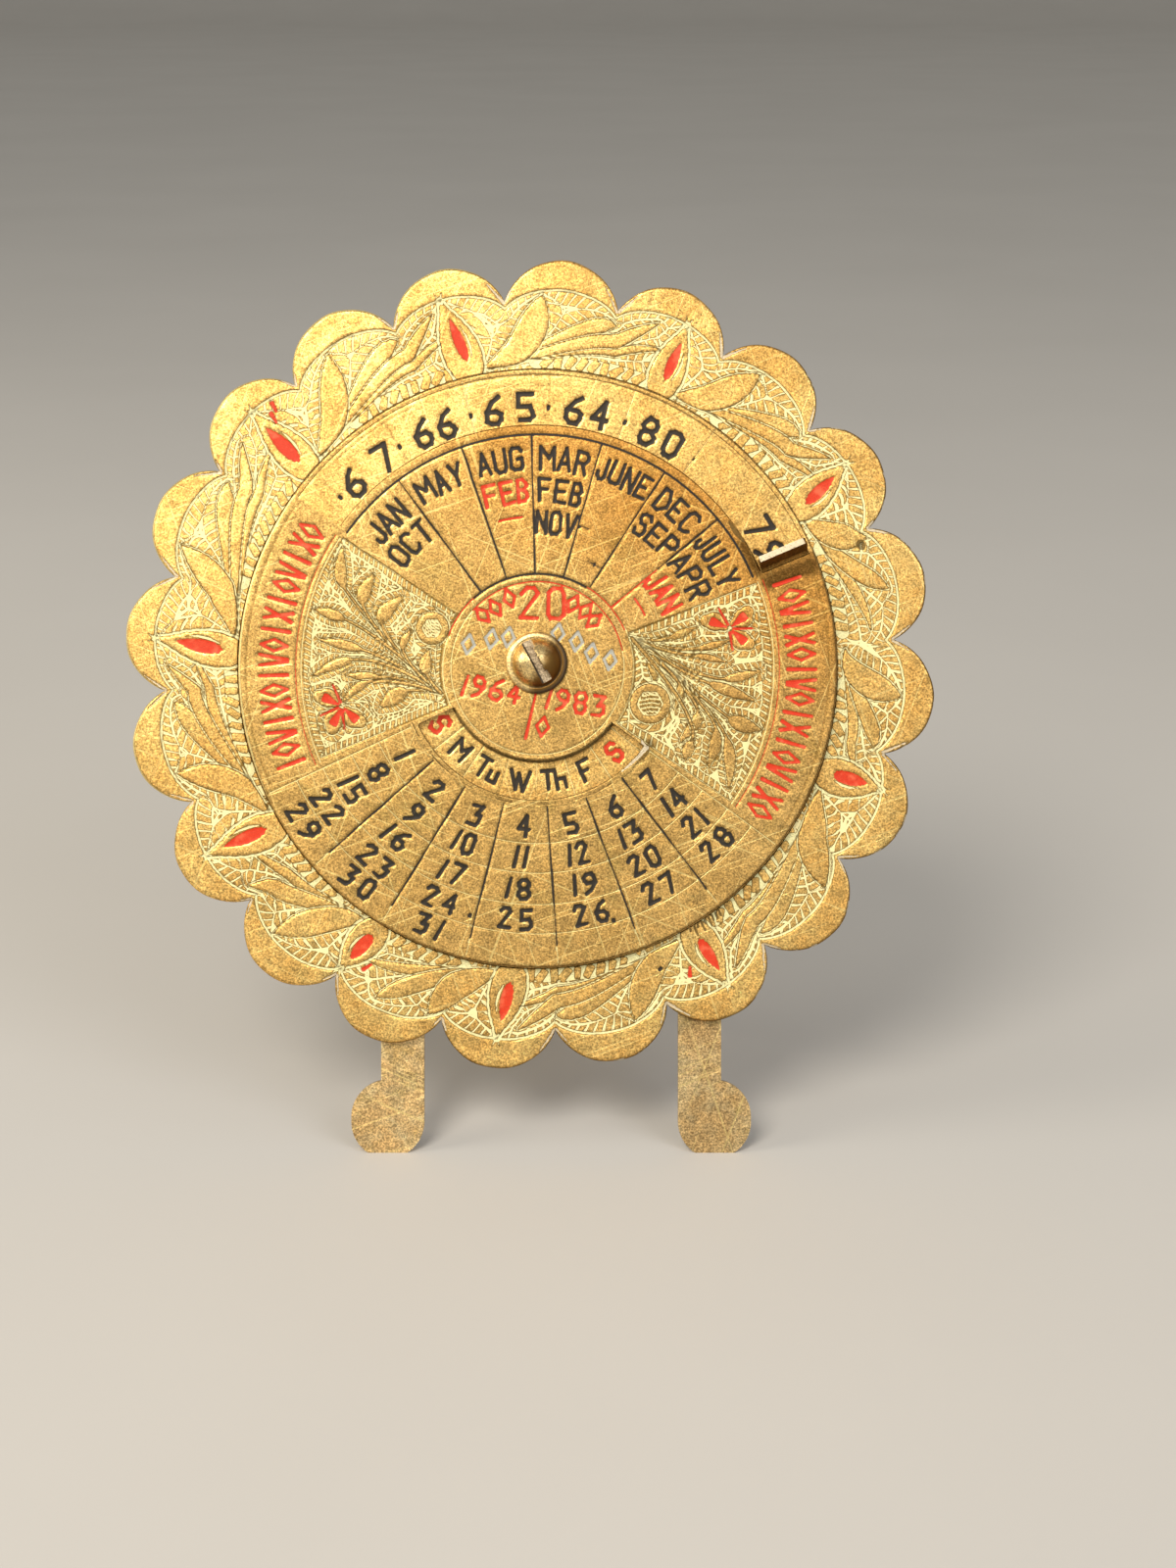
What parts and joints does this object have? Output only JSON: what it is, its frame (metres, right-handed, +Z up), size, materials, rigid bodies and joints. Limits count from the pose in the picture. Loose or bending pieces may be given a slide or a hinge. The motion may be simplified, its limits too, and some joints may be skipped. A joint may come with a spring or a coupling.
{
  "type": "perpetual desk calendar",
  "caption": "Scalloped brass plate on two front feet and a folding rear prop, with a turning windowed dial that sets years, months, weekdays and dates against each other.",
  "frame": {"origin": "table level, at the middle of the object's footprint in x and y", "axes": "+Z up, -Y towards the viewer who reads the dial, +X to that viewer's right"},
  "size_m": [0.0916, 0.0408, 0.0955],
  "materials": {
    "plate_brass": "satin",
    "dial_brass": "satin",
    "leg_brass": "satin",
    "hardware_brass": "satin",
    "black_enamel": "gloss",
    "red_enamel": "gloss"
  },
  "bodies": {
    "panel": {"back_plate": "plate_brass", "left_leg": "leg_brass", "right_leg": "leg_brass", "leg_rivets": "leg_brass", "prop_bracket": "leg_brass", "bracket_rivets": "leg_brass", "hinge_pin": "hardware_brass", "dial_washer": "hardware_brass", "pivot_screw": "hardware_brass", "back_washer": "hardware_brass", "spring_washer": "hardware_brass", "pivot_nut": "hardware_brass"},
    "dial": {"dial": "dial_brass"},
    "prop": {"rear_prop": "leg_brass"}
  },
  "joints": [
    {"name": "dial_turn", "type": "hinge", "parent": "panel", "child": "dial", "pos_m": [0.0009, -0.00268, 0.05215], "axis": [0, -0.9397, 0.342], "continuous": true},
    {"name": "prop_fold", "type": "hinge", "parent": "panel", "child": "prop", "pos_m": [0.0009, -0.00305, 0.03739], "axis": [1, 0, 0], "range_deg": [-54, 0]}
  ]
}
